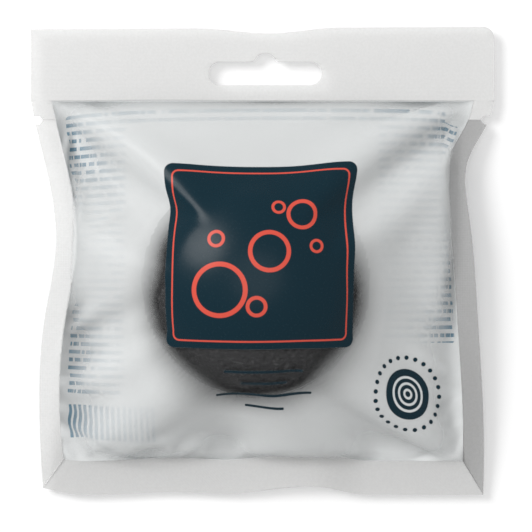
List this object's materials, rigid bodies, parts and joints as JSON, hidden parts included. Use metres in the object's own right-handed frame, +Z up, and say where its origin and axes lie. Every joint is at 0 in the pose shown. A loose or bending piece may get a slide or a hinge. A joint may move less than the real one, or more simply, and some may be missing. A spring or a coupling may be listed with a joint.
{
  "type": "konjac sponge in a hang pouch",
  "caption": "Dark domed konjac face sponge heat-sealed in a frosted film pouch, with a hang-slot header that tears off between side notches.",
  "frame": {"origin": "middle of the pouch's outline, on the table that its back rests on", "axes": "+Z up out of the front of the pouch, +Y towards the hang header, +X to the right seen from the front"},
  "size_m": [0.131, 0.1325, 0.0336],
  "materials": {
    "frosted_film": "milky frosted film with a satin sheen",
    "weld_band": "finely knurled heat seal, two webs fused",
    "charcoal_sponge": "damp charcoal sponge with fine open pores"
  },
  "bodies": {
    "pouch": {"front_panel": "frosted_film", "back_panel": "frosted_film", "left_seal": "weld_band", "right_seal": "weld_band", "bottom_seal": "weld_band"},
    "tear_strip": {"header_seal": "weld_band", "tear_strip_front": "frosted_film", "tear_strip_back": "frosted_film"},
    "sponge": {"konjac_sponge": "charcoal_sponge"}
  },
  "joints": [
    {"name": "sponge_pull_out", "type": "slide", "parent": "pouch", "child": "sponge", "axis": [0, 1, 0], "range_m": [0, 0.085], "deforming": ["front_panel", "back_panel"]},
    {"name": "tear_off", "type": "slide", "parent": "pouch", "child": "tear_strip", "axis": [0, 1, 0], "range_m": [0, 0.107]}
  ],
  "couplings": [
    {"joint": "tear_off", "follows": "sponge_pull_out", "ratio": 1.25}
  ]
}
